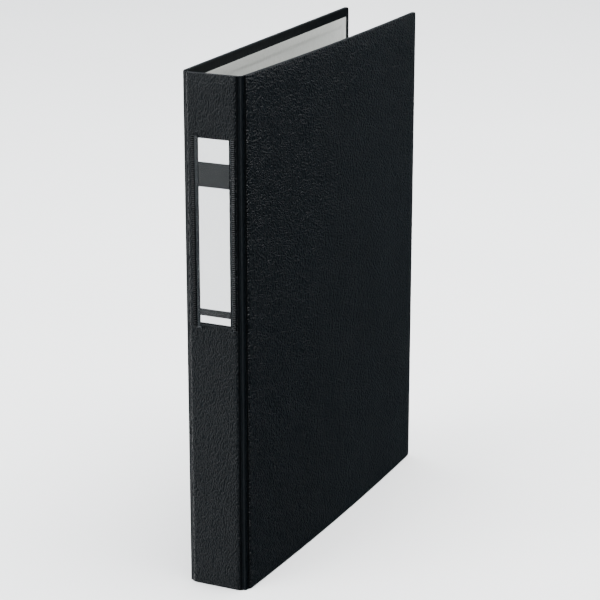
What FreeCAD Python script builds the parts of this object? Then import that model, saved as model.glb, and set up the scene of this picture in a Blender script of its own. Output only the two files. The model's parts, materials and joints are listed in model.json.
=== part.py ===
import FreeCAD, Part

import math
import os

# A ring binder standing on a shelf: a spine, two film hinge strips and two covers in leather-grain film
# over greyboard, lined with paper, with a label pocket on the spine and a four-ring D mechanism riveted
# inside the back cover.
# Millimetres. X runs across the thickness, with the front cover at +X. Y runs from the spine to the
# fore-edge. Z is up. The origin is in the middle of the spine's bottom edge, half way through its thickness.

# ---- Driving dimensions ----
HEIGHT = 318.0
SPINE_WIDTH = 32.2
COVER_DEPTH = 251.0
BOARD = 1.8
FILM = 0.4
LINING = 0.25
TURN_IN = 10.5
TOP_BORDER = 6.0
FORE_BORDER = 6.0
CORNER = 2.0

# Hinge strips between the spine and the covers
HINGE_PITCH = 5.53
HINGE_ANGLE = 48.2
HINGE_DEPTH = 0.6
CREASE_GAP = 0.6
STRIP_INNER = 0.3
STRIP_BEAD = 0.35

# How the covers stand at rest
FRONT_SPLAY = 2.6
BACK_SPLAY = 2.0
FRONT_BOW = 4.5

# Label pocket on the spine
POCKET_LEFT = -10.6
POCKET_RIGHT = 12.8
POCKET_BOTTOM = 168.8
POCKET_TOP = 281.3
POCKET_WELD = 2.6
POCKET_FILM = 0.25
CARD_LEFT = -8.2
CARD_WIDTH = 19.7
CARD_HEIGHT = 111.2
CARD = 0.25
CARD_CLEARANCE = 0.1
CARD_LIFT = 0.3

# Ring mechanism, in the back cover's own u (towards the fore-edge), v (inwards) and z
MECHANISM_U = 24.0
RING_PITCH = 80.0
RING_COUNT = 4
WIRE_R = 1.5
RING_HEIGHT = 33.0
RING_HALF_WIDTH = 6.0
POST_BEND = 5.5
BOW_FOOT_TOP = 7.6
BOW_NECK_R = 4.0
BOW_NECK_TURN = 65.0
TIP_U = 0.2
TIP_GAP = 0.2
FOOT_V = 1.0
WIRE_CLEARANCE = 0.4

HOUSING_LENGTH = 265.0
HOUSING_WIDTH = 21.0
HOUSING_HEIGHT = 7.5
HOUSING_SHOULDER = 4.2
SHEET = 0.9

RAIL = 1.2
RAIL_PIVOT_V = 2.6
RAIL_CLEARANCE = 0.3
RAIL_CENTRE_GAP = 0.2
RAIL_TILT = 9.0
RAIL_SETBACK = 8.0

LEVER_PIN_R = 1.0
LEVER_PIN_V = 3.4
LEVER_PIN_INSET = 5.0
LEVER_BORE_CLEARANCE = 0.05
LEVER_HUB_R = 2.0
LEVER_WIDTH = 9.0
LEVER_THICKNESS = 1.4
LEVER_ARM = 15.0
LEVER_ARM_ANGLE = 70.0
LEVER_NOSE = 6.0
LEVER_NOSE_WIDTH = 4.0
LEVER_NOSE_ANGLE = 22.5
LEVER_SLOT_CLEARANCE = 0.7
PIN_HEAD_R = 1.6
PIN_HEAD = 0.6

RIVET_SPACING = 160.0
RIVET_R = 2.0
RIVET_HEAD_R = 4.5
RIVET_HEAD = 1.1
SPACER_WALL = 1.0
SPACER_CLEARANCE = 0.8

# ---- Worked out from the driving dimensions ----
PANEL = BOARD + 2 * FILM
SPINE_OUT = -PANEL / 2
MID_Z = HEIGHT / 2
HALF_CREASE = CREASE_GAP / 2
HINGE_X = SPINE_WIDTH / 2 + HALF_CREASE
HINGE_Y = SPINE_OUT + HINGE_DEPTH
OUTER_V = -HINGE_DEPTH
INNER_V = OUTER_V + PANEL
SEAT_V = OUTER_V + FILM + BOARD + LINING
LIFT = FreeCAD.Vector(0, 0, 1)
BIG = 1000.0


def vec(x, y, z=0.0):
    return FreeCAD.Vector(x, y, z)


def box(x0, x1, y0, y1, z0, z1):
    return Part.makeBox(x1 - x0, y1 - y0, z1 - z0, vec(x0, y0, z0))


def extrude(edges, z0, z1):
    face = Part.Face(Part.Wire(edges))
    face.translate(vec(0, 0, z0))
    return face.extrude(vec(0, 0, z1 - z0))


def polygon(points):
    return [Part.LineSegment(a, b).toShape() for a, b in zip(points, points[1:] + points[:1])]


def save(name, shape):
    os.makedirs("parts", exist_ok=True)
    shape.removeSplitter().exportStep("parts/%s.step" % name)


# ---- Panels: layers of a cover, flat or evenly bowed ----
def layer(bow, v0, v1):
    """Everything between two depths of a cover, v measured inwards (+X) from the hinge axis's depth."""
    if bow == 0:
        return box(v0, v1, -BIG, BIG, -BIG, BIG)
    radius = COVER_DEPTH / math.radians(bow)
    centre_v = OUTER_V + radius
    start = vec(centre_v, HALF_CREASE, -BIG)
    outer = Part.makeCylinder(centre_v - v0, 2 * BIG, start)
    return outer.cut(Part.makeCylinder(centre_v - v1, 2 * BIG, start))


def outline(u0, u1, z0, z1, radius=0.0):
    """A block over a panel's rectangle, with its two fore-edge corners rounded."""
    block = box(-BIG / 10, BIG / 10, u0, u1, z0, z1)
    if radius == 0:
        return block
    corners = [e for e in block.Edges if e.Vertexes[0].Y == e.Vertexes[1].Y and
               abs(e.Vertexes[0].Y - u1) < 1e-6 and e.Vertexes[0].Z == e.Vertexes[1].Z]
    return block.makeFillet(radius, corners)


def cover_pieces(bow):
    """Board, film and lining of one cover, with the hinge axis on Z and the inside towards +X."""
    u0 = HALF_CREASE
    u1 = u0 + COVER_DEPTH
    board = layer(bow, OUTER_V + FILM, OUTER_V + FILM + BOARD)
    board = board.common(outline(u0 + FILM, u1 - FILM, FILM, HEIGHT - FILM, CORNER - FILM))
    window = outline(-BIG, u1 - TURN_IN, TURN_IN, HEIGHT - TURN_IN)
    film = layer(bow, OUTER_V, INNER_V).common(outline(u0, u1, 0, HEIGHT, CORNER))
    film = film.cut(board).cut(layer(bow, INNER_V - FILM, INNER_V + FILM).common(window))
    edge = outline(u0 + FILM, u1 - FORE_BORDER, TOP_BORDER, HEIGHT - TOP_BORDER)
    raised = layer(bow, INNER_V, INNER_V + LINING).common(edge)
    sunk = layer(bow, INNER_V - FILM, INNER_V + LINING)
    sunk = sunk.common(outline(u0 + FILM, u1 - TURN_IN, TURN_IN, HEIGHT - TURN_IN))
    dished = layer(bow, SEAT_V, INNER_V + 2 * LINING)
    wall = LINING + FILM
    dished = dished.common(outline(-BIG, u1 - TURN_IN - wall, TURN_IN + wall, HEIGHT - TURN_IN - wall))
    lining = raised.fuse(sunk).cut(dished)
    return {"board": board, "film": film, "lining": lining}


def spine_pieces():
    """Board, film and lining of the spine, with its outer face towards -Y."""
    half = SPINE_WIDTH / 2
    y0 = SPINE_OUT
    y1 = SPINE_OUT + PANEL
    board = box(-half + FILM, half - FILM, y0 + FILM, y1 - FILM, FILM, HEIGHT - FILM)
    film = box(-half, half, y0, y1, 0, HEIGHT).cut(board)
    film = film.cut(box(-half, half, y1 - FILM, y1, TURN_IN, HEIGHT - TURN_IN))
    raised = box(-half + FILM, half - FILM, y1, y1 + LINING, TOP_BORDER, HEIGHT - TOP_BORDER)
    sunk = box(-half + FILM, half - FILM, y1 - FILM, y1 + LINING, TURN_IN, HEIGHT - TURN_IN)
    wall = LINING + FILM
    dished = box(-half, half, y1 - FILM + LINING, y1 + LINING, TURN_IN + wall, HEIGHT - TURN_IN - wall)
    return {"board": board, "film": film, "lining": raised.fuse(sunk).cut(dished)}


def strip_pieces():
    """Hinge strip between two parallel fold axes: x along the strip from the spine's fold, +Y inwards."""
    x0 = HALF_CREASE
    x1 = HINGE_PITCH - HALF_CREASE
    crown = vec(HINGE_PITCH / 2, -HINGE_DEPTH)
    low = -HINGE_DEPTH + STRIP_BEAD
    edges = [Part.Arc(vec(x0, low), crown, vec(x1, low)).toShape(),
             Part.LineSegment(vec(x1, low), vec(x1, STRIP_INNER)).toShape(),
             Part.LineSegment(vec(x1, STRIP_INNER), vec(x0, STRIP_INNER)).toShape(),
             Part.LineSegment(vec(x0, STRIP_INNER), vec(x0, low)).toShape()]
    film = extrude(edges, 0, HEIGHT)
    lining = box(2 * x0, HINGE_PITCH - 2 * x0, STRIP_INNER, STRIP_INNER + LINING, TOP_BORDER,
                 HEIGHT - TOP_BORDER)
    return {"film": film, "lining": lining}


# ---- Placing pieces ----
def mirrored(shape):
    return shape.mirror(vec(0, 0), vec(1, 0))


def cover_axis():
    angle = math.radians(HINGE_ANGLE)
    return vec(HINGE_X + HINGE_PITCH * math.cos(angle), HINGE_Y + HINGE_PITCH * math.sin(angle))


def place_strip(shape):
    """The front strip: from its own frame to the binder's."""
    placed = shape.copy()
    placed.rotate(vec(0, 0), LIFT, HINGE_ANGLE)
    placed.translate(vec(HINGE_X, HINGE_Y))
    return placed


def place_cover(shape, splay):
    """The back cover: from its own frame to the binder's, leaning outwards by the splay."""
    placed = shape.copy()
    placed.rotate(vec(0, 0), LIFT, splay)
    axis = cover_axis()
    placed.translate(vec(-axis.x, axis.y))
    return placed


def mechanism(shape):
    """From the mechanism's u, v frame, u = 0 on its centre line and v = 0 on the lining, to the cover's."""
    swapped = shape.mirror(vec(0, 0), vec(1, -1))
    swapped.translate(vec(SEAT_V, HALF_CREASE + MECHANISM_U))
    return swapped


# ---- Label pocket ----
def label_pocket():
    """Clear film, open at the top, on two side welds and a bottom weld."""
    stand = CARD + 2 * CARD_CLEARANCE
    y1 = SPINE_OUT
    y0 = y1 - stand - POCKET_FILM
    left = POCKET_LEFT - POCKET_WELD
    right = POCKET_RIGHT + POCKET_WELD
    block = box(left, right, y0, y1, POCKET_BOTTOM - POCKET_WELD, POCKET_TOP)
    slot = box(POCKET_LEFT, POCKET_RIGHT, y1 - stand, y1, POCKET_BOTTOM, POCKET_TOP)
    return block.cut(slot)


def label_card():
    y1 = SPINE_OUT - CARD_CLEARANCE
    z0 = POCKET_BOTTOM + CARD_LIFT
    return box(CARD_LEFT, CARD_LEFT + CARD_WIDTH, y1 - CARD, y1, z0, z0 + CARD_HEIGHT)


# ---- Ring mechanism ----
def ring_heights():
    first = MID_Z - RING_PITCH * (RING_COUNT - 1) / 2
    return [first + RING_PITCH * i for i in range(RING_COUNT)]


def rivet_heights():
    return [MID_Z - RIVET_SPACING / 2, MID_Z + RIVET_SPACING / 2]


def on_side(angle_deg, radius):
    angle = math.radians(angle_deg)
    return vec(radius * math.cos(angle), radius * math.sin(angle))


def arc_edge(centre, radius, start_deg, turn_deg):
    points = [centre + on_side(start_deg + turn_deg * k / 2, radius) for k in (0, 1, 2)]
    return Part.Arc(*points).toShape(), points[2]


def wire_solid(edges, start, z):
    path = Part.Wire(edges)
    profile = Part.Wire(Part.makeCircle(WIRE_R, start, vec(0, 1)))
    rod = path.makePipeShell([profile], True, False)
    rod.translate(vec(0, 0, z))
    return rod


def post(z):
    """Straight half of a ring, on the fore-edge side, bending over at its top."""
    top = RING_HEIGHT - WIRE_R
    foot = vec(RING_HALF_WIDTH, FOOT_V)
    shoulder = vec(RING_HALF_WIDTH, top - POST_BEND)
    bend, end = arc_edge(shoulder - vec(POST_BEND, 0), POST_BEND, 0, 90)
    edges = [Part.LineSegment(foot, shoulder).toShape(), bend]
    edges.append(Part.LineSegment(end, vec(TIP_U + TIP_GAP / 2, top)).toShape())
    return wire_solid(edges, foot, z)


def bow(z):
    """Curved half of a ring, on the spine side, swelling out above the housing."""
    top = RING_HEIGHT - WIRE_R
    foot = vec(-RING_HALF_WIDTH, FOOT_V)
    neck = vec(-RING_HALF_WIDTH, BOW_FOOT_TOP)
    flare, waist = arc_edge(neck - vec(BOW_NECK_R, 0), BOW_NECK_R, 0, BOW_NECK_TURN)
    swell_r = (top - waist.y) / (1 + math.sin(math.radians(BOW_NECK_TURN)))
    centre = waist + on_side(BOW_NECK_TURN, swell_r)
    swell, end = arc_edge(centre, swell_r, 180 + BOW_NECK_TURN, -90 - BOW_NECK_TURN)
    edges = [Part.LineSegment(foot, neck).toShape(), flare, swell]
    edges.append(Part.LineSegment(end, vec(TIP_U - TIP_GAP / 2, top)).toShape())
    return wire_solid(edges, foot, z)


def arch(half, shoulder, crown, z0, z1):
    """A block with straight sides and an arched top."""
    edges = [Part.LineSegment(vec(-half, 0), vec(half, 0)).toShape(),
             Part.LineSegment(vec(half, 0), vec(half, shoulder)).toShape(),
             Part.Arc(vec(half, shoulder), vec(0, crown), vec(-half, shoulder)).toShape(),
             Part.LineSegment(vec(-half, shoulder), vec(-half, 0)).toShape()]
    return extrude(edges, z0, z1)


def rail_pivot():
    return HOUSING_WIDTH / 2 - SHEET - RAIL_CLEARANCE - RAIL / 2


def slot_span():
    """How far from the centre line a wire reaches in the crown as its rail swings right over."""
    rise = HOUSING_HEIGHT - RAIL_PIVOT_V
    swing = rise * math.sin(math.radians(2 * RAIL_TILT))
    near = RING_HALF_WIDTH - WIRE_R - WIRE_CLEARANCE
    return near, RING_HALF_WIDTH + WIRE_R + swing


def lever_pin_heights():
    half = HOUSING_LENGTH / 2 - LEVER_PIN_INSET
    return {"bottom": MID_Z - half, "top": MID_Z + half}


def pin_rod(radius, z, length):
    return Part.makeCylinder(radius, length, vec(-length / 2, LEVER_PIN_V, z), vec(1, 0))


def housing():
    """Arched steel channel with slots for the wires, holes for the rivets and lever pins, and open ends."""
    half = HOUSING_WIDTH / 2
    z0 = MID_Z - HOUSING_LENGTH / 2
    z1 = MID_Z + HOUSING_LENGTH / 2
    shell = arch(half, HOUSING_SHOULDER, HOUSING_HEIGHT, z0, z1)
    shell = shell.cut(arch(half - SHEET, HOUSING_SHOULDER - SHEET / 2, HOUSING_HEIGHT - SHEET, z0, z1))
    near, far = slot_span()
    reach = WIRE_R + WIRE_CLEARANCE
    for z in ring_heights():
        for side in (-1, 1):
            low, high = sorted((side * near, side * far))
            shell = shell.cut(box(low, high, HOUSING_SHOULDER / 2, BIG, z - reach, z + reach))
    for z in rivet_heights():
        shell = shell.cut(Part.makeCylinder(RIVET_R, BIG, vec(0, 0, z), vec(0, 1)))
    gap = LEVER_WIDTH / 2 + LEVER_SLOT_CLEARANCE
    for end, inward in ((z0, 1), (z1, -1)):
        low, high = sorted((end, end + inward * (LEVER_PIN_INSET + LEVER_HUB_R + LEVER_SLOT_CLEARANCE)))
        shell = shell.cut(box(-gap, gap, HOUSING_SHOULDER / 2, BIG, low, high))
    for z in lever_pin_heights().values():
        shell = shell.cut(pin_rod(LEVER_PIN_R, z, BIG))
    return shell


def rail_plate():
    """Fore-edge rail: flat bar with a rounded pivot edge, notched for the rivets and lever noses."""
    pivot = rail_pivot()
    reach = math.sqrt((pivot - RAIL_CENTRE_GAP) ** 2 - (RAIL / 2) ** 2)
    z0 = MID_Z - HOUSING_LENGTH / 2 + RAIL_SETBACK
    z1 = MID_Z + HOUSING_LENGTH / 2 - RAIL_SETBACK
    plate = box(-reach, 0, -RAIL / 2, RAIL / 2, z0, z1)
    plate = plate.fuse(Part.makeCylinder(RAIL / 2, z1 - z0, vec(0, 0, z0))).removeSplitter()
    plate.rotate(vec(0, 0), LIFT, RAIL_TILT)
    plate.translate(vec(pivot, RAIL_PIVOT_V))
    for z in rivet_heights():
        plate = plate.cut(Part.makeCylinder(RIVET_R + SPACER_WALL + SPACER_CLEARANCE, BIG, vec(0, 0, z),
                                            vec(0, 1)))
    side = LEVER_NOSE_WIDTH / 2 + LEVER_SLOT_CLEARANCE
    for z in lever_pin_heights().values():
        deep = LEVER_NOSE + LEVER_SLOT_CLEARANCE
        plate = plate.cut(box(-side, side, -BIG, BIG, z - deep, z + deep))
    return plate


def rails_and_rings():
    posts = [post(z) for z in ring_heights()]
    bows = [bow(z) for z in ring_heights()]
    fore_rail = rail_plate()
    spine_rail = mirrored(fore_rail)
    for wire in posts:
        fore_rail = fore_rail.cut(wire)
    for wire in bows:
        spine_rail = spine_rail.cut(wire)
    return fore_rail, spine_rail, posts, bows


def lever():
    """Opening lever on a pin at z = 0 that ends beyond the housing at +Z: hub, nose and curled thumb arm."""
    half = LEVER_WIDTH / 2
    t = LEVER_THICKNESS / 2
    hub = Part.makeCylinder(LEVER_HUB_R, LEVER_WIDTH, vec(-half, 0), vec(1, 0))
    nose = box(-LEVER_NOSE_WIDTH / 2, LEVER_NOSE_WIDTH / 2, -t, t, -LEVER_NOSE, 0)
    nose.rotate(vec(0, 0), vec(1, 0), -LEVER_NOSE_ANGLE)
    arm = box(-half, half, -t, t, 0, LEVER_ARM)
    pad = Part.makeCylinder(2 * t, LEVER_WIDTH, vec(-half, t, LEVER_ARM), vec(1, 0))
    arm = arm.fuse(pad)
    arm.rotate(vec(0, 0), vec(1, 0), -LEVER_ARM_ANGLE)
    body = hub.fuse([nose, arm])
    return body.cut(Part.makeCylinder(LEVER_PIN_R + LEVER_BORE_CLEARANCE, BIG, vec(-BIG / 2, 0), vec(1, 0)))


def lever_at(end):
    placed = lever()
    if end == "bottom":
        placed = placed.mirror(vec(0, 0), LIFT)
    placed.translate(vec(0, LEVER_PIN_V, lever_pin_heights()[end]))
    return placed


def lever_pin(z):
    rod = pin_rod(LEVER_PIN_R, z, HOUSING_WIDTH)
    half = HOUSING_WIDTH / 2
    left = Part.makeCylinder(PIN_HEAD_R, PIN_HEAD, vec(-half - PIN_HEAD, LEVER_PIN_V, z), vec(1, 0))
    right = Part.makeCylinder(PIN_HEAD_R, PIN_HEAD, vec(half, LEVER_PIN_V, z), vec(1, 0))
    return rod.fuse([left, right])


def dome(v, z, outward):
    """Rivet head: a low spherical cap whose flat face is at v."""
    radius = (RIVET_HEAD_R ** 2 + RIVET_HEAD ** 2) / (2 * RIVET_HEAD)
    ball = Part.makeSphere(radius, vec(0, v + outward * (RIVET_HEAD - radius), z))
    low, high = sorted((v, v + outward * RIVET_HEAD))
    return ball.common(box(-BIG, BIG, low, high, z - BIG, z + BIG))


def rivet(z, shell):
    """Rivet from the housing's crown through the cover, clinched over outside."""
    outside = OUTER_V - SEAT_V
    crown = HOUSING_HEIGHT
    sink = crown - arch_height(RIVET_HEAD_R)
    shank = Part.makeCylinder(RIVET_R, crown - outside, vec(0, outside, z), vec(0, 1))
    skirt = Part.makeCylinder(RIVET_HEAD_R, sink, vec(0, crown - sink, z), vec(0, 1)).cut(shell)
    keep = skirt.cut(arch(HOUSING_WIDTH / 2 - SHEET, HOUSING_SHOULDER - SHEET / 2, HOUSING_HEIGHT - SHEET,
                          z - BIG, z + BIG))
    return shank.fuse([dome(crown, z, 1), keep, dome(outside, z, -1)])


def arch_height(u):
    """Height of the housing's outer crown at a distance from its centre line."""
    half = HOUSING_WIDTH / 2
    rise = HOUSING_HEIGHT - HOUSING_SHOULDER
    radius = (half ** 2 + rise ** 2) / (2 * rise)
    return HOUSING_HEIGHT - radius + math.sqrt(radius ** 2 - u ** 2)


def spacer(z):
    tube = Part.makeCylinder(RIVET_R + SPACER_WALL, HOUSING_HEIGHT, vec(0, 0, z), vec(0, 1))
    tube = tube.cut(Part.makeCylinder(RIVET_R, BIG, vec(0, 0, z), vec(0, 1)))
    return tube.common(arch(HOUSING_WIDTH / 2 - SHEET, HOUSING_SHOULDER - SHEET / 2,
                            HOUSING_HEIGHT - SHEET, z - BIG, z + BIG))


def build():
    for name, shape in spine_pieces().items():
        save("spine_" + name, shape)
    save("label_pocket", label_pocket())
    save("label_card", label_card())

    for name, shape in strip_pieces().items():
        front = place_strip(shape)
        save("front_hinge_" + name, front)
        save("back_hinge_" + name, mirrored(front))

    for name, shape in cover_pieces(FRONT_BOW).items():
        save("front_" + name, mirrored(place_cover(shape, FRONT_SPLAY)))

    back = cover_pieces(0)
    shell = housing()
    pieces = {"ring_housing": shell}
    for end, z in zip(("bottom", "top"), rivet_heights()):
        pieces[end + "_rivet"] = rivet(z, shell)
        pieces[end + "_spacer"] = spacer(z)
    for end, z in lever_pin_heights().items():
        pieces[end + "_lever_pin"] = lever_pin(z)
        pieces[end + "_lever"] = lever_at(end)
    fore_rail, spine_rail, posts, bows = rails_and_rings()
    pieces["fore_rail"] = fore_rail
    pieces["spine_rail"] = spine_rail
    for i, (straight, curved) in enumerate(zip(posts, bows), 1):
        pieces["ring_post_%d" % i] = straight
        pieces["ring_bow_%d" % i] = curved
    for name, shape in pieces.items():
        pieces[name] = mechanism(shape)

    for name, shape in back.items():
        for end in ("bottom", "top"):
            shape = shape.cut(pieces[end + "_rivet"])
        save("back_" + name, place_cover(shape, BACK_SPLAY))
    for name, shape in pieces.items():
        save(name, place_cover(shape, BACK_SPLAY))


build()
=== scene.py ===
import json
import math

import bmesh
import bpy
from mathutils import Matrix, Vector


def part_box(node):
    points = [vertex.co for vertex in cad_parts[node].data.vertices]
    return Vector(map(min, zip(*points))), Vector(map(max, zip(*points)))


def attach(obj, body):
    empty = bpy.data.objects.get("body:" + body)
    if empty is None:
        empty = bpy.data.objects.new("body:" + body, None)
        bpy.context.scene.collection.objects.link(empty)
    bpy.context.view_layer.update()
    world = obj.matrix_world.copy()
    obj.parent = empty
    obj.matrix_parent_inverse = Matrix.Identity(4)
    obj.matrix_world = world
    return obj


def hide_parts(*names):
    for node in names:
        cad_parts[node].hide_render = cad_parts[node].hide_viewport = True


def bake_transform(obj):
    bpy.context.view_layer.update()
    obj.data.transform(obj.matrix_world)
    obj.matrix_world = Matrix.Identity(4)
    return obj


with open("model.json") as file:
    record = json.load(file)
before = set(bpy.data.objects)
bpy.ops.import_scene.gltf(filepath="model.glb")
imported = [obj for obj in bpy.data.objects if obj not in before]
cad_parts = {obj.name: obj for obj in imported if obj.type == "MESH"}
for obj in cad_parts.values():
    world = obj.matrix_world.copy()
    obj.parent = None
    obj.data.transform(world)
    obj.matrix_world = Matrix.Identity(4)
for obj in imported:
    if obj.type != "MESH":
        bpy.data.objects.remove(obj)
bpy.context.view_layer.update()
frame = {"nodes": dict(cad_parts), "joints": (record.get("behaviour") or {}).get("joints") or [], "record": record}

# ---- Sizes, in metres, from the frame wherever it holds them ----
MM = 0.001
JOINTS = {joint["name"]: joint for joint in frame["joints"]}
SPINE_LOW, SPINE_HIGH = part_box("spine_film")
HEIGHT = SPINE_HIGH[2]
PANEL = SPINE_HIGH[1] - SPINE_LOW[1]
SPINE_HALF = SPINE_HIGH[0]
SPINE_FOLD = Vector(JOINTS["front_spine_fold"]["pos_m"][:2]).to_3d()
COVER_FOLD = Vector(JOINTS["front_cover_fold"]["pos_m"][:2]).to_3d()
HINGE_PITCH = (COVER_FOLD - SPINE_FOLD).length
HINGE_ANGLE = math.atan2(COVER_FOLD.y - SPINE_FOLD.y, COVER_FOLD.x - SPINE_FOLD.x)
HINGE_DEPTH = SPINE_FOLD.y - SPINE_LOW[1]
HALF_CREASE = SPINE_FOLD.x - SPINE_HALF
COVER_DEPTH = 251 * MM
FILM = 0.4 * MM
LINING_SHEET = 0.25 * MM
TURN_IN = 10.5 * MM
TOP_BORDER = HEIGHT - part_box("back_lining")[1][2]
FORE_BORDER = 6.0 * MM
STEP_WIDTH = 3.2 * MM
SPLAY = {"front": math.radians(2.6), "back": math.radians(2.0)}
BOW = {"front": math.radians(4.5), "back": 0.0}
CORNER = 2.0 * MM
EDGE_ROUND = 0.35 * MM
FOLD_RUN = 2.1 * MM
FOLD_DROP = 0.9 * MM
TINY = 1e-6
COVER_STRIPS = 28
STRIP_INNER = 0.3 * MM
GROOVE_FLOOR = 0.15 * MM
BEAD_MIDDLE = 3.15 * MM
BEAD_HALF = 1.15 * MM
BEAD_STEPS = 14
BEAD_LIFT = 0.92
BEAD_CROWN = 2.4
BEAD_FULLNESS = 0.6
ROUND_SEGMENTS = 3
FOLD_STEPS = 8
WEB_FILM = 0.15 * MM
WEB_PAPER = 0.12 * MM

RIB_PITCH = 1.15 * MM
RIB_STEPS = 6
RIB_ACROSS = 8
RIB_VALLEY = 0.12
RIB_RISE = 0.83
WELD_WIDTH = 2.6 * MM
POCKET_FILM = 0.12 * MM
POCKET_SINK = 0.1 * MM
WINDOW_STEPS = 14
WINDOW_FLATNESS = 24
CURL_TURNS = 20
CURL_SIDES = 8
BAND_EDGES = (13.9 * MM, 28.7 * MM, 102.55 * MM, 106.95 * MM)


# ---- Material helpers ----
def new_material(name):
    material = bpy.data.materials.new(name)
    material.use_nodes = True
    return material, material.node_tree, material.node_tree.nodes["Principled BSDF"]


def set_inputs(shader, **values):
    for key, value in values.items():
        shader.inputs[key.replace("_", " ")].default_value = value


def texture(tree, kind, scale, stretch=(1, 1, 1), **settings):
    """A procedural texture in the piece's own coordinates, with features about 1/scale metres across."""
    coordinates = tree.nodes.new("ShaderNodeTexCoord")
    mapping = tree.nodes.new("ShaderNodeMapping")
    mapping.inputs["Scale"].default_value = stretch
    tree.links.new(coordinates.outputs["Object"], mapping.inputs["Vector"])
    node = tree.nodes.new("ShaderNodeTex" + kind)
    node.inputs["Scale"].default_value = scale
    for key, value in settings.items():
        if key in ("feature", "distance", "noise_dimensions"):
            setattr(node, key, value)
        else:
            node.inputs[key].default_value = value
    tree.links.new(mapping.outputs["Vector"], node.inputs["Vector"])
    return node


def ramp(tree, source, low, high, low_value, high_value):
    """Maps a texture's value between two positions to two colours or greys."""
    node = tree.nodes.new("ShaderNodeValToRGB")
    for element, place, value in zip(node.color_ramp.elements, (low, high), (low_value, high_value)):
        element.position = place
        element.color = value if len(value) == 4 else (*value, 1)
    tree.links.new(source, node.inputs["Fac"])
    return node.outputs["Color"]


def grey(level):
    return (level, level, level)


def bump(tree, shader, *layers):
    """Chains bumps: each layer is a height source and its depth in metres."""
    last = None
    for source, depth in layers:
        node = tree.nodes.new("ShaderNodeBump")
        node.inputs["Strength"].default_value = 1.0
        node.inputs["Distance"].default_value = depth
        tree.links.new(source, node.inputs["Height"])
        if last:
            tree.links.new(last, node.inputs["Normal"])
        last = node.outputs["Normal"]
    tree.links.new(last, shader.inputs["Normal"])


# ---- Materials ----
def grain_film(name, cell, wrinkle, depth, rough, ior):
    """Black film embossed as leather: raised pebbles and shallow wrinkles in cells of one size, squeezed
    along each axis by wrinkle, and worn-looking gloss."""
    material, tree, shader = new_material(name)
    pebbles = texture(tree, "Voronoi", 1 / cell, wrinkle, feature="SMOOTH_F1", Smoothness=0.35)
    creases = texture(tree, "Noise", 1.1 / cell, wrinkle, Detail=3.0, Roughness=0.6)
    drift = texture(tree, "Noise", 14.0, Detail=3.0)
    height = ramp(tree, pebbles.outputs["Distance"], 0.1, 0.7, grey(1), grey(0))
    bump(tree, shader, (height, depth), (creases.outputs["Fac"], depth * 0.6))
    tint = ramp(tree, creases.outputs["Fac"], 0.35, 0.7, (0.0004, 0.001, 0.0015), (0.0014, 0.0026, 0.0036))
    tree.links.new(tint, shader.inputs["Base Color"])
    gloss = ramp(tree, drift.outputs["Fac"], 0.3, 0.7, grey(rough - 0.04), grey(rough + 0.05))
    tree.links.new(gloss, shader.inputs["Roughness"])
    set_inputs(shader, IOR=ior)
    return material


def smooth_film(name, light, rough, ior):
    """The same film where it is pressed or folded smooth. Darker, duller copies of it also serve as painted shade
    in the creases and on the turned-in border.
    """
    material, tree, shader = new_material(name)
    ripple = texture(tree, "Noise", 500, (1, 1, 0.25), Detail=2.0)
    bump(tree, shader, (ripple.outputs["Fac"], 0.00006))
    tint = ramp(tree, ripple.outputs["Fac"], 0.3, 0.7, [0.6 * c for c in light], light)
    tree.links.new(tint, shader.inputs["Base Color"])
    set_inputs(shader, Roughness=rough, IOR=ior)
    return material


def paper(name, dark, light, scale, rough):
    """Paper: cloudy fibres in colour and a fine tooth."""
    material, tree, shader = new_material(name)
    fibres = texture(tree, "Noise", scale, (1, 1, 0.45), Detail=6.0, Roughness=0.7)
    clouds = texture(tree, "Noise", 25, Detail=2.0)
    tint = ramp(tree, fibres.outputs["Fac"], 0.3, 0.7, dark, light)
    tree.links.new(tint, shader.inputs["Base Color"])
    dull = ramp(tree, clouds.outputs["Fac"], 0.3, 0.7, grey(rough - 0.06), grey(rough + 0.04))
    tree.links.new(dull, shader.inputs["Roughness"])
    bump(tree, shader, (fibres.outputs["Fac"], 0.00003))
    return material


def greyboard():
    material, tree, shader = new_material("greyboard_pulp")
    pulp = texture(tree, "Noise", 900, Detail=8.0, Roughness=0.8)
    flecks = texture(tree, "Voronoi", 700, (1, 1, 0.5))
    tint = ramp(tree, pulp.outputs["Fac"], 0.3, 0.7, (0.2, 0.19, 0.175), (0.36, 0.34, 0.31))
    tree.links.new(tint, shader.inputs["Base Color"])
    bump(tree, shader, (flecks.outputs["Distance"], 0.00008))
    set_inputs(shader, Roughness=0.9)
    return material


def nickel(name, tone, rough):
    """Bright nickel plate with faint drawing lines and handling marks."""
    material, tree, shader = new_material(name)
    lines = texture(tree, "Noise", 2500, (1, 1, 0.03), Detail=2.0)
    smears = texture(tree, "Noise", 60, Detail=5.0, Roughness=0.65)
    tint = ramp(tree, smears.outputs["Fac"], 0.3, 0.7, [c * 0.9 for c in tone], tone)
    tree.links.new(tint, shader.inputs["Base Color"])
    gloss = ramp(tree, smears.outputs["Fac"], 0.35, 0.7, grey(rough), grey(rough + 0.14))
    tree.links.new(gloss, shader.inputs["Roughness"])
    bump(tree, shader, (lines.outputs["Fac"], 0.000008))
    set_inputs(shader, Metallic=1.0)
    return material


def clear_film():
    """Clear film, seen mostly by its shine and its faint ripples."""
    material, tree, shader = new_material("pocket_clear_film")
    ripple = texture(tree, "Noise", 90, (1, 1, 0.5), Detail=2.0)
    bump(tree, shader, (ripple.outputs["Fac"], 0.0002))
    tint = ramp(tree, ripple.outputs["Fac"], 0.3, 0.7, (0.02, 0.022, 0.023), (0.05, 0.053, 0.055))
    tree.links.new(tint, shader.inputs["Base Color"])
    set_inputs(shader, Roughness=0.1, Alpha=0.06, IOR=1.5)
    return material


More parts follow.
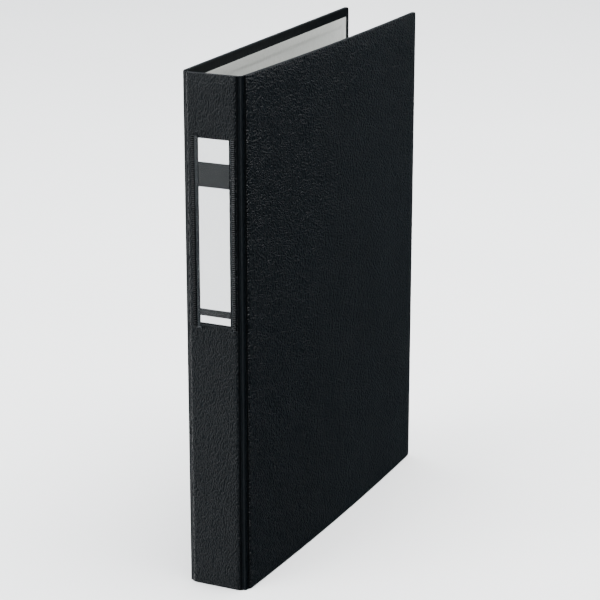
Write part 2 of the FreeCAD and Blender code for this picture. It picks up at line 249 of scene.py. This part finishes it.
def film_hem(name, dark, light, ior):
    """Doubled clear film over black: a smoky grey that is a little brighter where it is thick."""
    material, tree, shader = new_material(name)
    streaks = texture(tree, "Noise", 300, (1, 1, 0.06), Detail=3.0)
    tint = ramp(tree, streaks.outputs["Fac"], 0.35, 0.65, dark, light)
    tree.links.new(tint, shader.inputs["Base Color"])
    bump(tree, shader, (streaks.outputs["Fac"], 0.00005))
    set_inputs(shader, Roughness=0.28, IOR=ior)
    return material


FILM_SPINE = grain_film("film_spine", 0.0008, (1, 1, 0.5), 0.0006, 0.33, 1.28)
FILM_COVER = grain_film("film_cover", 0.0011, (1, 0.7, 0.95), 0.0007, 0.36, 1.36)
FILM_BEAD = grain_film("film_bead", 0.0007, (1, 1, 0.5), 0.0001, 0.3, 1.36)
# Painted shade: a darker, duller copy of the film for the turned-in border inside the case.
FILM_INSIDE_SHADE = smooth_film("film_turned_in_painted_shade", (0.002, 0.0028, 0.0034), 0.5, 1.18)
FILM_SMOOTH = smooth_film("film_pressed", (0.004, 0.005, 0.006), 0.3, 1.4)
# Painted shade: a darker, duller copy of the film for the bottoms of the creases and the ribs' valleys.
FILM_FOLD_SHADE = smooth_film("film_folded_painted_shade", (0.001, 0.0015, 0.002), 0.6, 1.12)
LINING = paper("lining_grey", (0.40, 0.405, 0.38), (0.50, 0.505, 0.48), 900, 0.75)
CARD_WHITE = paper("card_white", (0.80, 0.81, 0.81), (0.86, 0.87, 0.87), 700, 0.55)
CARD_DARK = paper("card_dark", (0.003, 0.0035, 0.0035), (0.005, 0.006, 0.006), 700, 0.7)
BOARD = greyboard()
NICKEL = nickel("nickel_plate", (0.78, 0.76, 0.73), 0.16)
RIVET = nickel("rivet_plate", (0.70, 0.68, 0.65), 0.24)
CLEAR = clear_film()
HEM = film_hem("pocket_hem_film", (0.004, 0.005, 0.006), (0.014, 0.016, 0.017), 1.43)
# One rib film in two copies, lighter for the right weld and darker for the left: the difference is painted light
# and shade.
RIB_LIT = film_hem("pocket_rib_film", (0.01, 0.011, 0.012), (0.024, 0.026, 0.027), 1.38)
RIB_SHADED = film_hem("pocket_rib_film_shaded", (0.002, 0.0025, 0.003), (0.006, 0.007, 0.0075), 1.32)


# ---- Mesh helpers ----
def add_object(name, bm, *materials, smooth_angle=35):
    mesh = bpy.data.meshes.new(name)
    bmesh.ops.recalc_face_normals(bm, faces=bm.faces[:])
    bm.to_mesh(mesh)
    bm.free()
    for material in materials:
        mesh.materials.append(material)
    mesh.shade_smooth()
    mesh.set_sharp_from_angle(angle=math.radians(smooth_angle))
    obj = bpy.data.objects.new(name, mesh)
    bpy.context.scene.collection.objects.link(obj)
    return obj


def block(low, high):
    bm = bmesh.new()
    bmesh.ops.create_cube(bm, size=1.0)
    size = Vector(high) - Vector(low)
    middle = (Vector(high) + Vector(low)) / 2
    matrix = Matrix.Translation(middle) @ Matrix.Diagonal((*size, 1))
    bmesh.ops.transform(bm, matrix=matrix, verts=bm.verts[:])
    return bm


def round_edges(bm, chosen, radius, segments=ROUND_SEGMENTS):
    edges = [edge for edge in bm.edges if chosen(*(v.co for v in edge.verts))]
    bmesh.ops.bevel(bm, geom=edges, offset=radius, segments=segments, profile=0.5, affect="EDGES")


def slice_at(bm, axis, places):
    """Cuts the mesh by planes across one axis, so that it can bend or take a step there."""
    normal = Vector((0, 0, 0))
    normal[axis] = 1
    for place in places:
        parts = bm.verts[:] + bm.edges[:] + bm.faces[:]
        bmesh.ops.bisect_plane(bm, geom=parts, plane_co=normal * place, plane_no=normal, dist=1e-7)


def move_points(bm, rule):
    for vert in bm.verts:
        vert.co = rule(vert.co)


def mirror_x(point):
    return Vector((-point.x, point.y, point.z))


def place_cover(side):
    """From the cover's frame, with the fold on Z and the inside towards +X, to the binder's."""
    radius = COVER_DEPTH / BOW[side] if BOW[side] else None
    turn = Matrix.Rotation(SPLAY[side], 4, "Z")
    axis = mirror_x(COVER_FOLD)

    def rule(point):
        if radius:
            angle = (point.y - HALF_CREASE) / radius
            inner = radius - (point.x + HINGE_DEPTH)
            across = radius - HINGE_DEPTH - inner * math.cos(angle)
            point = Vector((across, HALF_CREASE + inner * math.sin(angle), point.z))
        point = turn @ point + axis
        return mirror_x(point) if side == "front" else point

    return rule


def place_strip(side):
    """From the strip's frame, along X from the spine's fold with the inside towards +Y, to the binder's."""
    turn = Matrix.Rotation(HINGE_ANGLE, 4, "Z")

    def rule(point):
        point = turn @ point + SPINE_FOLD
        return point if side == "front" else mirror_x(point)

    return rule


# ---- Case: spine, hinge strips and covers ----
def film_panel(low, high, axis, window_low, window_high, corner_edges, folds):
    """A covered panel. Its film rolls over gently towards each fold, given as (place, way inwards), and
    tightly elsewhere, and the turn-ins leave a step on its inner face around the window."""
    along = 1 - axis
    outer = low[axis]
    inner = high[axis]
    bm = block(low, high)
    round_edges(bm, corner_edges, CORNER)
    round_edges(bm, lambda a, b: abs(a[axis] - outer) < TINY and abs(b[axis] - outer) < TINY, EDGE_ROUND)
    round_edges(bm, lambda a, b: abs(a[axis] - inner) < TINY and abs(b[axis] - inner) < TINY, FILM)
    slice_at(bm, along, (window_low[0], window_high[0]))
    slice_at(bm, 2, (window_low[1], window_high[1]))
    faces = []
    for face in bm.faces:
        centre = face.calc_center_median()
        beside = window_low[0] < centre[along] < window_high[0]
        level = window_low[1] < centre.z < window_high[1]
        if beside and level and abs(centre[axis] - inner) < TINY:
            faces.append(face)
    ring = bmesh.ops.extrude_face_region(bm, geom=faces)
    moved = [item for item in ring["geom"] if isinstance(item, bmesh.types.BMVert)]
    step = Vector((0, 0, 0))
    step[axis] = -FILM
    bmesh.ops.translate(bm, vec=step, verts=moved)
    bmesh.ops.delete(bm, geom=[face for face in faces if face.is_valid], context="FACES_ONLY")
    bm.normal_update()
    for face in bm.faces:
        # The turned-in border and the top and bottom faces take the darker, duller turned-in film; on the border
        # it is painted shade.
        turned_in = face.calc_center_median()[axis] > inner - FILM - TINY
        face.material_index = 1 if turned_in or abs(face.normal.z) > 0.9 else 0
    for place, inwards in folds:
        turns = [math.pi / 2 * k / FOLD_STEPS for k in range(1, FOLD_STEPS + 1)]
        slice_at(bm, along, [place + inwards * FOLD_RUN * (1 - math.cos(turn)) for turn in turns])
    for vert in bm.verts:
        for place, inwards in folds:
            left = 1 - abs(vert.co[along] - place) / FOLD_RUN
            if left > 0:
                drop = FOLD_DROP * (1 - math.sqrt(1 - left ** 2))
                vert.co[axis] += drop * (inner - vert.co[axis]) / (inner - outer)
    return bm


def cover_skin(side):
    near = HALF_CREASE
    far = near + COVER_DEPTH
    low = (-HINGE_DEPTH, near, 0)
    high = (PANEL - HINGE_DEPTH, far, HEIGHT)

    def corner(a, b):
        return abs(a.y - far) < TINY and abs(b.y - far) < TINY and abs(a.z - b.z) < TINY

    bm = film_panel(low, high, 0, (near + 2 * FILM, TURN_IN), (far - TURN_IN, HEIGHT - TURN_IN), corner,
                    [(near, 1)])
    slice_at(bm, 1, [near + COVER_DEPTH * i / COVER_STRIPS for i in range(1, COVER_STRIPS)])
    move_points(bm, place_cover(side))
    skin = add_object(side + "_cover_skin", bm, FILM_COVER, FILM_INSIDE_SHADE)
    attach(skin, side + "_cover")
    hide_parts(side + "_film")


def spine_skin():
    bm = film_panel(SPINE_LOW, SPINE_HIGH, 1, (-SPINE_HALF + 2 * FILM, TURN_IN),
                    (SPINE_HALF - 2 * FILM, HEIGHT - TURN_IN), lambda a, b: False,
                    [(-SPINE_HALF, 1), (SPINE_HALF, -1)])
    skin = add_object("spine_skin", bm, FILM_SPINE, FILM_INSIDE_SHADE)
    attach(skin, "spine")
    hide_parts("spine_film")


def sweep_strip(profile, heights):
    """A closed profile of (x, y) points carried through a list of heights, with closed ends."""
    bm = bmesh.new()
    rings = [[bm.verts.new((x, y, z)) for x, y in profile] for z in heights]
    for lower, upper in zip(rings, rings[1:]):
        for i in range(len(profile)):
            j = (i + 1) % len(profile)
            bm.faces.new((lower[i], lower[j], upper[j], upper[i]))
    bm.faces.new(rings[0][::-1])
    bm.faces.new(rings[-1])
    return bm


def even_heights(step, low=0.0, high=HEIGHT):
    count = round((high - low) / step)
    return [low + (high - low) * i / count for i in range(count + 1)]


def hinge_strip(side):
    """Raised bead of film in the middle of the hinge, on a low web that reaches both creases."""
    ends = (HALF_CREASE, HINGE_PITCH - HALF_CREASE)
    back = STRIP_INNER
    floor = GROOVE_FLOOR
    profile = [(ends[0], floor), (BEAD_MIDDLE - BEAD_HALF - 0.25 * MM, floor)]
    for i in range(BEAD_STEPS + 1):
        across = -1 + 2 * i / BEAD_STEPS
        rise = (1 - abs(across) ** BEAD_CROWN) ** BEAD_FULLNESS
        height = floor - 0.05 * MM - (HINGE_DEPTH + floor) * BEAD_LIFT * rise
        profile.append((BEAD_MIDDLE + across * BEAD_HALF, height))
    profile += [(BEAD_MIDDLE + BEAD_HALF + 0.2 * MM, floor), (ends[1], floor)]
    profile += [(ends[1], back), (ends[0], back)]
    bm = sweep_strip(profile, even_heights(10 * MM))
    move_points(bm, place_strip(side))
    strip = add_object(side + "_hinge_bead", bm, FILM_BEAD, smooth_angle=50)
    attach(strip, side + "_hinge")
    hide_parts(side + "_hinge_film")


def fold_web(name, bodies, side, fold, first, second, thickness, margin, material):
    """A thin sheet across one fold. Each side is a direction from the fold along its panel, and a line of
    (distance, depth) points on it, from the far end to the fold, with depth measured inwards."""
    (back_way, back_line), (on_way, on_line) = first, second
    back_in = Vector((back_way.y, -back_way.x, 0))
    on_in = Vector((-on_way.y, on_way.x, 0))
    line = [fold + back_way * along + back_in * deep for along, deep in back_line]
    line += [fold + on_way * along + on_in * deep for along, deep in reversed(on_line)]
    shift = (back_in + on_in).normalized() * thickness
    profile = [(p.x, p.y) for p in line] + [(p.x + shift.x, p.y + shift.y) for p in reversed(line)]
    bm = sweep_strip(profile, even_heights(20 * MM, margin, HEIGHT - margin))
    if side == "back":
        move_points(bm, mirror_x)
    web = add_object(name, bm, material, smooth_angle=80)
    ends = [fold + way * HALF_CREASE for way in (back_way, on_way)]
    if side == "back":
        ends = [mirror_x(p) for p in ends]
    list(bodies)
    tuple(ends[0])
    tuple(ends[1])
    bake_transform(web)


def creases(side):
    """Both folds of one hinge, in film outside and in lining paper inside. The film webs are dark and dull:
    painted shade at the bottom of each crease.
    """
    along = Vector((math.cos(HINGE_ANGLE), math.sin(HINGE_ANGLE), 0))
    cover = Vector((math.sin(SPLAY[side]), math.cos(SPLAY[side]), 0))
    hinge = side + "_hinge"
    film = ((HALF_CREASE + 0.4 * MM, 0.05 * MM), (HALF_CREASE, 0.05 * MM), (0.1 * MM, 0.1 * MM))
    paper_level = PANEL - HINGE_DEPTH + LINING_SHEET
    board_paper = ((HALF_CREASE + 1.2 * MM, paper_level), (HALF_CREASE + 0.3 * MM, paper_level - 0.1 * MM),
                   (0.1 * MM, paper_level - 0.6 * MM))
    strip_level = STRIP_INNER + LINING_SHEET
    strip_paper = ((HALF_CREASE + 1.4 * MM, strip_level), (HALF_CREASE + 0.8 * MM, strip_level + 0.15 * MM))
    folds = (("spine", ("spine", hinge), SPINE_FOLD, Vector((-1, 0, 0)), along, board_paper, strip_paper),
             ("cover", (hinge, side + "_cover"), COVER_FOLD, -along, cover, strip_paper, board_paper))
    for name, bodies, fold, back_way, on_way, back_paper, on_paper in folds:
        # The film web is dark and dull: painted shade at the bottom of the crease.
        fold_web("%s_%s_crease" % (side, name), bodies, side, fold, (back_way, film), (on_way, film),
                 WEB_FILM, 0.2 * MM, FILM_FOLD_SHADE)
        fold_web("%s_%s_crease_paper" % (side, name), bodies, side, fold, (back_way, back_paper),
                 (on_way, on_paper), -WEB_PAPER, TOP_BORDER, LINING)


# ---- Lining paper ----
def breaks(low, high, fixed_low, fixed_high, step):
    """Grid lines for a lining sheet: its edges, the slopes beside the turn-ins, and even ones between."""
    lines = {low, high}
    for fixed, sign in ((fixed_low, 1), (fixed_high, -1)):
        if fixed is not None:
            lines |= {fixed + sign * STEP_WIDTH * k / 4 for k in range(5)}
    start = fixed_low + STEP_WIDTH if fixed_low is not None else low
    end = fixed_high - STEP_WIDTH if fixed_high is not None else high
    count = max(1, round((end - start) / step))
    lines |= {start + (end - start) * k / count for k in range(1, count)}
    return sorted(lines)


def smooth(t):
    t = min(1, max(0, t))
    return t * t * (3 - 2 * t)


def lining_sheet(name, body, node, us, zs, far, rule):
    """Paper over the board and the turn-ins, with a soft step down inside the turn-ins' edges. Far is the
    fore-edge turn-in's edge, if the panel has one."""
    bm = bmesh.new()

    def dip(u, z):
        inward = [z - TURN_IN, HEIGHT - TURN_IN - z]
        if far is not None:
            inward.append(far - u)
        return FILM * smooth(min(inward) / STEP_WIDTH)

    rows = [[bm.verts.new((u, -dip(u, z), z)) for u in us] for z in zs]
    for lower, upper in zip(rows, rows[1:]):
        for i in range(len(us) - 1):
            bm.faces.new((lower[i], lower[i + 1], upper[i + 1], upper[i]))
    skin = bm.faces[:]
    made = bmesh.ops.extrude_face_region(bm, geom=skin)
    for vert in [item for item in made["geom"] if isinstance(item, bmesh.types.BMVert)]:
        vert.co.y -= LINING_SHEET
    move_points(bm, rule)
    sheet = add_object(name, bm, LINING, smooth_angle=50)
    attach(sheet, body)
    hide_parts(node)


def linings():
    zs = breaks(TOP_BORDER, HEIGHT - TOP_BORDER, TURN_IN, HEIGHT - TURN_IN, 20 * MM)
    surface = SPINE_HIGH[1] + LINING_SHEET
    us = breaks(-SPINE_HALF + FILM, SPINE_HALF - FILM, None, None, 6 * MM)
    lining_sheet("spine_lining_paper", "spine", "spine_lining", us, zs, None,
                 lambda p: Vector((p.x, surface + p.y, p.z)))
    level = PANEL - HINGE_DEPTH + LINING_SHEET
    fore = HALF_CREASE + COVER_DEPTH
    us = breaks(HALF_CREASE + FILM, fore - FORE_BORDER, None, fore - TURN_IN,
                COVER_DEPTH / COVER_STRIPS)
    for side in ("front", "back"):
        place = place_cover(side)
        lining_sheet(side + "_lining_paper", side + "_cover", side + "_lining", us, zs, fore - TURN_IN,
                     lambda p, place=place: place(Vector((level + p.y, p.x, p.z))))


# ---- Label pocket ----
CARD_LOW, CARD_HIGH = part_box("label_card")
POCKET_LOW, POCKET_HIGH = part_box("label_pocket")


def label_card():
    """White card with plain dark bands of print and no words; within the bands its cut side faces are dark too, as
    painted shade.
    """
    bm = block(CARD_LOW, CARD_HIGH)
    cuts = [CARD_HIGH[2] - down for down in BAND_EDGES]
    slice_at(bm, 2, cuts)
    for face in bm.faces:
        z = face.calc_center_median().z
        band = sum(z < edge for edge in cuts)
        # In the dark bands the front takes the print, and the cut side faces take the same dark colour as painted
        # shade.
        print_or_shaded_edge = face.normal.y < 0.5
        face.material_index = 1 if print_or_shaded_edge and band in (1, 3) else 0
    card = add_object("label_card_printed", bm, CARD_WHITE, CARD_DARK)
    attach(card, "label")
    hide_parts("label_card")


def ribbed_weld(name, x0, x1, ridges):
    """Welded edge of the pocket, pressed into short ribs: smoky film on the ridges, and painted shade, in the dark
    crease film, in the valleys and along both outer columns.
    """
    low = POCKET_LOW[2]
    high = POCKET_HIGH[2]
    back = POCKET_HIGH[1]
    proud = back - POCKET_LOW[1]
    heights = even_heights(RIB_PITCH / RIB_STEPS, low, high)
    bm = bmesh.new()
    rows = []
    for z in heights:
        wave = 0.5 + 0.5 * math.cos(2 * math.pi * (z - low) / RIB_PITCH)
        row = []
        for i in range(RIB_ACROSS + 1):
            t = -1 + 2 * i / RIB_ACROSS
            lift = proud * (1 - abs(t) ** 4) * (RIB_VALLEY + RIB_RISE * wave)
            row.append(bm.verts.new(((x0 + x1) / 2 + t * (x1 - x0) / 2, back - lift, z)))
        rows.append(row)
    for lower, upper, z in zip(rows, rows[1:], heights):
        phase = (z - low) / RIB_PITCH + 0.5 / RIB_STEPS
        for i in range(RIB_ACROSS):
            face = bm.faces.new((lower[i], lower[i + 1], upper[i + 1], upper[i]))
            # Valleys and the two outer columns take the dark crease film: painted shade.
            valley = 0.2 < phase % 1 < 0.8
            face.material_index = 1 if valley or i in (0, RIB_ACROSS - 1) else 0
    border = [edge for edge in bm.edges if edge.is_boundary]
    base = bmesh.ops.extrude_edge_only(bm, edges=border)["geom"]
    for vert in [item for item in base if isinstance(item, bmesh.types.BMVert)]:
        vert.co.y = back + 0.15 * MM
    bmesh.ops.holes_fill(bm, edges=[edge for edge in bm.edges if edge.is_boundary])
    weld = add_object(name, bm, ridges, FILM_FOLD_SHADE, smooth_angle=60)
    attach(weld, "spine")


def pocket_window():
    """Clear film over the card, bowed a little, pinned down along its welds."""
    low = Vector(POCKET_LOW)
    high = Vector(POCKET_HIGH)
    x0 = low.x + WELD_WIDTH
    x1 = high.x - WELD_WIDTH
    front = low.y + 0.02 * MM
    back = high.y
    profile = []
    for i in range(WINDOW_STEPS + 1):
        t = -1 + 2 * i / WINDOW_STEPS
        y = front + (back - front - POCKET_FILM) * abs(t) ** WINDOW_FLATNESS
        profile.append(((x0 + x1) / 2 + t * (x1 - x0) / 2, y))
    profile += [(x, y + POCKET_FILM) for x, y in reversed(profile)]
    bm = sweep_strip(profile, even_heights(6 * MM, low.z + WELD_WIDTH, high.z))
    window = add_object("pocket_window", bm, CLEAR, smooth_angle=40)
    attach(window, "spine")
    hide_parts("label_pocket")


def soft_bar(name, low, high, radius, material, lean=0.0):
    """A low bar on the spine's face with its outer edges rounded, leaning along X by its top."""
    bm = block(low, high)
    round_edges(bm, lambda a, b: a.y < (low[1] + high[1]) / 2 and b.y < (low[1] + high[1]) / 2, radius)
    move_points(bm, lambda p: Vector((p.x + lean * (p.z - low[2]) / (high[2] - low[2]), p.y, p.z)))
    bar = add_object(name, bm, material)
    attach(bar, "spine")


def pocket_edges():
    """Doubled film beside each weld, the welded line under the card, and the film's loose left end."""
    low = Vector(POCKET_LOW)
    high = Vector(POCKET_HIGH)
    face = high.y + POCKET_SINK
    weld_left = low.x + WELD_WIDTH
    weld_right = high.x - WELD_WIDTH
    hem = high.y - 0.3 * MM
    soft_bar("pocket_hem_left", (weld_left + 0.3 * MM, hem, low.z - 0.4 * MM),
             (CARD_LOW[0] - 0.15 * MM, face, high.z), 0.18 * MM, HEM, lean=-0.6 * MM)
    soft_bar("pocket_hem_right", (CARD_HIGH[0] + 1.0 * MM, hem, low.z + WELD_WIDTH),
             (weld_right + 0.2 * MM, face, high.z), 0.15 * MM, HEM)
    soft_bar("pocket_foot_weld", (CARD_LOW[0], high.y - 0.2 * MM, low.z + 0.9 * MM),
             (CARD_HIGH[0], face, low.z + 1.7 * MM), 0.1 * MM, FILM_SMOOTH)
    soft_bar("pocket_hem_foot", (weld_left + 0.1 * MM, high.y - 0.5 * MM, low.z - 1.2 * MM),
             (CARD_LOW[0] + 0.6 * MM, face, low.z + 0.2 * MM), 0.4 * MM, HEM)


def pocket_curl():
    """The film's loose right end, curled up under the card's corner and thinning as it goes."""
    foot = Vector((CARD_HIGH[0], POCKET_HIGH[1], POCKET_LOW[2]))
    inwards = Vector((0, 1, 0))
    bm = bmesh.new()
    rings = []
    for i in range(CURL_TURNS + 1):
        angle = math.radians(100 - 300 * i / CURL_TURNS)
        thick = (0.45 - 0.25 * i / CURL_TURNS) * MM
        out = Vector((math.cos(angle), 0, math.sin(angle)))
        centre = foot + Vector((1.2 + 0.9 * out.x, -0.15, 0.2 + 1.5 * out.z)) * MM
        ring = []
        for k in range(CURL_SIDES):
            turn = 2 * math.pi * k / CURL_SIDES
            spoke = out * math.cos(turn) + inwards * math.sin(turn)
            ring.append(bm.verts.new(centre + spoke * thick))
        rings.append(ring)
    for lower, upper in zip(rings, rings[1:]):
        for k in range(CURL_SIDES):
            after = (k + 1) % CURL_SIDES
            bm.faces.new((lower[k], lower[after], upper[after], upper[k]))
    bm.faces.new(rings[0])
    bm.faces.new(rings[-1][::-1])
    curl = add_object("pocket_film_curl", bm, HEM, smooth_angle=80)
    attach(curl, "spine")


# ---- CAD parts that only take a material ----
def finish_nodes():
    looks = {"greyboard": BOARD, "lining_paper": LINING, "nickel_steel": NICKEL, "rivet_steel": RIVET}
    for part in frame["record"]["subparts"]:
        if part["material_slot"] in looks:
            node = frame["nodes"][part["node"]]
            node.data.materials.clear()
            node.data.materials.append(looks[part["material_slot"]])


# ---- Stage, light and camera ----
FLOOR_HALF = 30
FLOOR_DROP = 0.2 * MM
GLOW = 3.3
GLOW_START = 0.3
GLOW_END = 8.0
ROOM_SEEN = 3.6
ROOM_DARK = (0.014, 0.027, 0.038)
ROOM_LIGHT = (0.6, 0.69, 0.77)
EDGE_LIGHT = 3.4


def stage():
    """A plain pale floor that glows a little far from the object, to meet the white room softly."""
    bm = bmesh.new()
    bmesh.ops.create_grid(bm, x_segments=2, y_segments=2, size=FLOOR_HALF)
    floor_material, tree, shader = new_material("pale_floor")
    mottle = texture(tree, "Noise", 3.0, Detail=2.0)
    tint = ramp(tree, mottle.outputs["Fac"], 0.3, 0.7, grey(0.9), grey(0.93))
    tree.links.new(tint, shader.inputs["Base Color"])
    set_inputs(shader, Roughness=1.0, Specular_IOR_Level=0.0)
    coordinates = tree.nodes.new("ShaderNodeTexCoord")
    distance = tree.nodes.new("ShaderNodeVectorMath")
    distance.operation = "LENGTH"
    tree.links.new(coordinates.outputs["Object"], distance.inputs[0])
    glow = tree.nodes.new("ShaderNodeMapRange")
    glow.inputs["From Min"].default_value = GLOW_START
    glow.inputs["From Max"].default_value = GLOW_END
    glow.inputs["To Max"].default_value = GLOW
    tree.links.new(distance.outputs["Value"], glow.inputs["Value"])
    tree.links.new(glow.outputs["Result"], shader.inputs["Emission Strength"])
    shader.inputs["Emission Color"].default_value = (1, 1, 1, 1)
    floor = add_object("floor", bm, floor_material)
    floor.location.z = -FLOOR_DROP
    floor.visible_glossy = False


def area_light(name, place, aim, size, power):
    data = bpy.data.lights.new(name, "AREA")
    data.shape = "RECTANGLE"
    data.size, data.size_y = size
    data.energy = power
    light = bpy.data.objects.new(name, data)
    light.location = place
    light.rotation_euler = (Vector(aim) - Vector(place)).to_track_quat("-Z", "Y").to_euler()
    bpy.context.scene.collection.objects.link(light)
    return light


def toward(tree, coordinates, direction, near, far):
    """How far a ray in the world points in one direction, from 0 at one cosine to 1 at the other."""
    facing = tree.nodes.new("ShaderNodeVectorMath")
    facing.operation = "DOT_PRODUCT"
    facing.inputs[1].default_value = Vector(direction).normalized()
    tree.links.new(coordinates.outputs["Generated"], facing.inputs[0])
    spread = tree.nodes.new("ShaderNodeMapRange")
    spread.inputs["From Min"].default_value = near
    spread.inputs["From Max"].default_value = far
    tree.links.new(facing.outputs["Value"], spread.inputs["Value"])
    return spread.outputs["Result"]


def world_light():
    """A white room for the camera. For the object, a soft light that is brighter in front of the spine, and
    a bright card behind its left edge. The floor hides the card's lower part from all but glossy rays."""
    world = bpy.data.worlds.new("studio")
    world.use_nodes = True
    tree = world.node_tree
    tree.nodes.clear()
    output = tree.nodes.new("ShaderNodeOutputWorld")
    seen = tree.nodes.new("ShaderNodeBackground")
    seen.inputs["Color"].default_value = (1, 1, 1, 1)
    seen.inputs["Strength"].default_value = ROOM_SEEN
    room = tree.nodes.new("ShaderNodeBackground")
    card = tree.nodes.new("ShaderNodeBackground")
    coordinates = tree.nodes.new("ShaderNodeTexCoord")
    front = toward(tree, coordinates, (-0.85, -0.5, 0.4), -0.9, 0.45)
    shade = ramp(tree, front, 0.0, 1.0, ROOM_DARK, ROOM_LIGHT)
    tree.links.new(shade, room.inputs["Color"])
    edge = toward(tree, coordinates, (-0.9, 0.38, -0.3), 0.7, 1.0)
    tree.links.new(ramp(tree, edge, 0.0, 1.0, grey(0), grey(1)), card.inputs["Color"])
    card.inputs["Strength"].default_value = EDGE_LIGHT
    both = tree.nodes.new("ShaderNodeAddShader")
    tree.links.new(room.outputs["Background"], both.inputs[0])
    tree.links.new(card.outputs["Background"], both.inputs[1])
    path = tree.nodes.new("ShaderNodeLightPath")
    mix = tree.nodes.new("ShaderNodeMixShader")
    tree.links.new(path.outputs["Is Camera Ray"], mix.inputs["Fac"])
    tree.links.new(both.outputs["Shader"], mix.inputs[1])
    tree.links.new(seen.outputs["Background"], mix.inputs[2])
    tree.links.new(mix.outputs["Shader"], output.inputs["Surface"])
    bpy.context.scene.world = world


def camera():
    target = Vector((0.00954, 0.09868, 0.15714))
    azimuth = math.radians(25.15)
    elevation = math.radians(17.02)
    distance = 1.31421
    away = Vector((math.sin(azimuth) * math.cos(elevation), -math.cos(azimuth) * math.cos(elevation),
                   math.sin(elevation)))
    data = bpy.data.cameras.new("camera")
    data.sensor_width = 36.0
    data.lens = 124.9
    data.clip_start = 0.01
    data.clip_end = 100
    obj = bpy.data.objects.new("camera", data)
    obj.location = target + away * distance
    obj.rotation_euler = (-away).to_track_quat("-Z", "Y").to_euler()
    bpy.context.scene.collection.objects.link(obj)
    bpy.context.scene.camera = obj


camera()
stage()
world_light()
area_light("top", (0.3, 0.3, 2.2), (0, 0.1, 0.1), (2.4, 2.4), 200)
area_light("key", (-1.2, -1.8, 1.3), (0, 0, 0.15), (1.8, 1.8), 90)

spine_skin()
for side in ("front", "back"):
    cover_skin(side)
    hinge_strip(side)
    creases(side)
label_card()
# The left weld's ribs take the darker rib film and the right weld's the lighter: painted shade and painted light.
ribbed_weld("pocket_weld_left", POCKET_LOW[0], POCKET_LOW[0] + WELD_WIDTH, RIB_SHADED)
ribbed_weld("pocket_weld_right", POCKET_HIGH[0] - WELD_WIDTH, POCKET_HIGH[0], RIB_LIT)
pocket_window()
pocket_edges()
pocket_curl()
linings()
finish_nodes()
